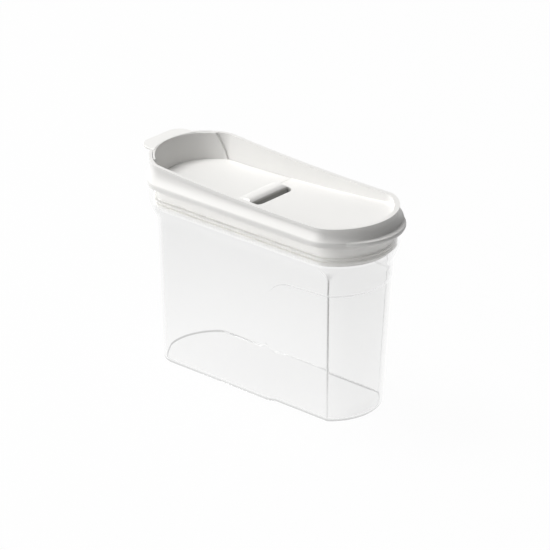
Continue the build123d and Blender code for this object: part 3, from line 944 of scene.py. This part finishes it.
def finned_ring_tree() -> bpy.types.NodeTree:
    """Geometry tree: a band swept along a closed path, with level fins round its outside."""
    tree = bpy.data.node_groups.new("finned_ring", "GeometryNodeTree")
    declare(tree, "INPUT", ("Path", "Geometry", None), ("Band Thickness", "Float", 1.0 * MM),
            ("Band Height", "Float", 7.0 * MM), ("Middle Height", "Float", 0.0), ("Edge Round", "Float", 0.2 * MM),
            ("Fin Count", "Int", 2), ("Fin Reach", "Float", 3.0 * MM), ("Fin Thickness", "Float", 0.8 * MM),
            ("Finish", "Material", None))
    declare(tree, "OUTPUT", ("Ring", "Geometry", None))
    sheet = NodeSheet(tree)
    given = sheet.add("NodeGroupInput").outputs
    path = sheet.use("GeometryNodeMeshToCurve", {"Mesh": given["Path"]})
    level = sheet.use("GeometryNodeSetCurveNormal", {"Curve": path}, mode="Z_UP")

    def swept(section: bpy.types.NodeSocket) -> bpy.types.NodeSocket:
        """Sweeps a closed section along the path."""
        return sheet.use("GeometryNodeCurveToMesh", {"Curve": level, "Profile Curve": section})

    fins = sheet.use("GeometryNodeInstanceOnPoints", {
        "Points": fin_rows(sheet, given), "Instance": swept(fin_section(sheet, given))})
    both = sheet.filled("GeometryNodeJoinGeometry", {0: swept(band_section(sheet, given))})
    sheet.feed(both.inputs[0], fins)
    lift = sheet.use("ShaderNodeCombineXYZ", {"Z": given["Middle Height"]})
    placed = sheet.use("GeometryNodeTransform", {"Geometry": both.outputs[0], "Translation": lift})
    whole = sheet.use("GeometryNodeRealizeInstances", {0: placed})
    smooth = sheet.use("GeometryNodeSetShadeSmooth", {0: whole})
    ring = sheet.use("GeometryNodeSetMaterial", {"Geometry": smooth, "Material": given["Finish"]})
    sheet.filled("NodeGroupOutput", {"Ring": ring})
    return tree


def grown_by_nodes(name: str, path: list[Vector], tree: bpy.types.NodeTree,
                   settings: dict[str, object]) -> bpy.types.Object:
    """Runs a geometry tree on a closed path and keeps the result as a plain mesh.

    Args:
        name: the piece's name.
        path: the path's points, in millimetres.
        tree: the tree.
        settings: values for the tree's named inputs.

    Returns:
        The new piece.
    """
    mesh = bpy.data.meshes.new(f"{name}_path")
    count = len(path)
    mesh.from_pydata([point * MM for point in path], [(index, (index + 1) % count) for index in range(count)], [])
    piece = put_in_scene(name, mesh)
    growth = piece.modifiers.new("growth", "NODES")
    growth.node_group = tree
    for item in tree.interface.items_tree:
        if item.in_out == "INPUT" and item.name in settings:
            growth[item.identifier] = settings[item.name]
    plain = bpy.data.meshes.new_from_object(piece.evaluated_get(bpy.context.evaluated_depsgraph_get()))
    piece.modifiers.remove(growth)
    piece.data = plain
    shape = bmesh.new()
    shape.from_mesh(plain)
    bmesh.ops.remove_doubles(shape, verts=shape.verts, dist=0.001 * MM)
    bmesh.ops.recalc_face_normals(shape, faces=shape.faces)
    shape.to_mesh(plain)
    shape.free()
    return piece


@dataclass
class Lid:
    """The white lid and the soft finned seal round its skirt, in millimetres."""

    shop: Workshop
    skirt_in: float = 3.8             # the skirt's outside, in from the mouth line
    groove_depth: float = 1.0
    groove_bottom: float = 143.6
    groove_height: float = 7.2
    fin_count: int = 2
    fin_thick: float = 0.8
    fin_tip_in: float = 1.0           # the fins' tips, in from the mouth line
    edge_round: float = 0.15

    def seal(self) -> bpy.types.Object:
        """Grows the finned ring in the skirt's groove."""
        middle = self.skirt_in + self.groove_depth / 2
        path = MOUTH.grown(-middle).points([step / SEAL_SIDE_STEPS for step in range(SEAL_SIDE_STEPS)])
        return grown_by_nodes("lid_seal_ring", path, finned_ring_tree(), {
            "Band Thickness": self.groove_depth * MM, "Band Height": self.groove_height * MM,
            "Middle Height": (self.groove_bottom + self.groove_height / 2) * MM,
            "Edge Round": self.edge_round * MM, "Fin Count": self.fin_count,
            "Fin Reach": (middle - self.fin_tip_in) * MM, "Fin Thickness": self.fin_thick * MM,
            "Finish": self.shop.seal})

    def build(self) -> None:
        """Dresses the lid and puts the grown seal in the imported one's place."""
        dress(self.shop.nodes["lid_frame"], self.shop.white)
        ring = self.seal()
        dress(ring, self.shop.seal)
        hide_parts("lid_seal")
        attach(ring, Body.LID.value)
        LOG.info("lid: white plastic; seal of %d faces", len(ring.data.polygons))


@dataclass
class Flap:
    """The flip-up flap and its soft seal."""

    shop: Workshop

    def build(self) -> None:
        """Dresses the flap's solids."""
        dress(self.shop.nodes["flap"], self.shop.white)
        dress(self.shop.nodes["flap_seal"], self.shop.seal)
        LOG.info("flap: white plastic and soft seal")


# ---------------------------------------------------------------- studio


@dataclass
class Studio:
    """Floor, light and camera: places in metres, and the solved camera in its own unit of length."""

    unit: float = 0.78 * MM           # the camera was solved in units of this length
    focal_px: float = 3435.86
    frame_px: float = 550.0
    sensor_mm: float = 36.0
    elevation: float = 24.64
    azimuth: float = 41.16
    distance: float = 3617.46
    aim_height: float = 90.0
    shift_right: float = 0.55
    shift_up: float = 26.9
    view_range: float = 50.0
    floor_size: float = 12.0
    floor_drop: float = 0.0002        # the floor lies this far below the foot
    floor_glow: float = 0.97          # share of the floor that is seen as plain white
    floor_colour: tuple[float, float, float] = (0.8, 0.8, 0.8)
    world_light: float = 0.19
    key_power: float = 24.0
    key_size: float = 1.6
    key_place: tuple[float, float, float] = (-1.1, -2.3, 1.3)
    top_power: float = 49.0
    top_size: float = 1.1
    top_place: tuple[float, float, float] = (-1.15, -0.35, 2.25)
    middle: tuple[float, float, float] = (0.0, 0.0, 0.1)

    def camera(self) -> None:
        """Sets the camera where the photograph was taken from."""
        turn = math.radians(self.azimuth)
        tilt = math.radians(self.elevation)
        right = Vector((math.cos(turn), math.sin(turn), 0.0))
        level = Vector((math.sin(turn), -math.cos(turn), 0.0))
        back = level * math.cos(tilt) + Vector((0.0, 0.0, math.sin(tilt)))
        up = -level * math.sin(tilt) + Vector((0.0, 0.0, math.cos(tilt)))
        place = Vector((0.0, 0.0, self.aim_height)) + right * self.shift_right
        place = (place + up * self.shift_up + back * self.distance) * self.unit
        data = bpy.data.cameras.new("camera")
        data.sensor_width = self.sensor_mm
        data.lens = self.focal_px / self.frame_px * self.sensor_mm
        data.clip_end = self.view_range
        camera = put_in_scene("camera", data)
        axes = Matrix((right, up, back)).transposed().to_4x4()
        camera.matrix_world = Matrix.Translation(place) @ axes
        bpy.context.scene.camera = camera

    def seen_mask(self, sheet: NodeSheet) -> bpy.types.NodeSocket:
        """Mask of the rays that see the background rather than gather light."""
        path = sheet.add("ShaderNodeLightPath").outputs
        first = sheet.maths("MAXIMUM", path["Is Camera Ray"], path["Is Glossy Ray"])
        return sheet.maths("MAXIMUM", first, path["Is Transmission Ray"])

    def world(self) -> None:
        """A white surround that lights the object softly."""
        world = bpy.data.worlds.new("studio")
        bpy.context.scene.world = world
        world.use_nodes = True
        world.node_tree.nodes.clear()
        sheet = NodeSheet(world.node_tree)
        gather = sheet.use("ShaderNodeBackground", {"Strength": self.world_light})
        seen = sheet.use("ShaderNodeBackground", {})
        sheet.filled("ShaderNodeOutputWorld", {"Surface": sheet.mixed(self.seen_mask(sheet), gather, seen)})

    def floor(self) -> None:
        """A pale floor that keeps a faint shadow."""
        mesh = bpy.data.meshes.new("floor")
        half = self.floor_size / 2
        mesh.from_pydata([(-half, -half, 0), (half, -half, 0), (half, half, 0), (-half, half, 0)], [], [(0, 1, 2, 3)])
        floor = put_in_scene("floor", mesh)
        floor.location.z = -self.floor_drop
        material = bpy.data.materials.new("floor_paper")
        material.use_nodes = True
        material.node_tree.nodes.clear()
        sheet = NodeSheet(material.node_tree)
        matt = sheet.use("ShaderNodeBsdfDiffuse", {"Color": (*self.floor_colour, 1.0)})
        glow = sheet.use("ShaderNodeEmission", {})
        share = sheet.maths("MULTIPLY", self.seen_mask(sheet), self.floor_glow)
        sheet.filled("ShaderNodeOutputMaterial", {"Surface": sheet.mixed(share, matt, glow)})
        dress(floor, material)

    def lamp(self, name: str, place: tuple[float, float, float], size: float, power: float) -> None:
        """Hangs a square soft box that faces the object.

        Args:
            name: the lamp's name.
            place: its middle.
            size: its side.
            power: watts.
        """
        data = bpy.data.lights.new(name, "AREA")
        data.size = size
        data.energy = power
        lamp = put_in_scene(name, data)
        lamp.location = place
        aim = Vector(self.middle) - Vector(place)
        lamp.rotation_euler = aim.to_track_quat("-Z", "Y").to_euler()

    def build(self) -> None:
        """Sets up the whole studio."""
        self.camera()
        self.world()
        self.floor()
        self.lamp("key", self.key_place, self.key_size, self.key_power)
        self.lamp("top", self.top_place, self.top_size, self.top_power)
        bpy.context.scene.view_settings.view_transform = "Standard"


def main() -> None:
    """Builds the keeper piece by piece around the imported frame."""
    logging.basicConfig(level=logging.INFO, format="%(name)s: %(message)s")
    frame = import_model()
    shop = Workshop(frame["nodes"])
    Studio().build()
    for part in (Jar(shop), Lid(shop), Flap(shop)):
        part.build()


if __name__ == "__main__":
    main()
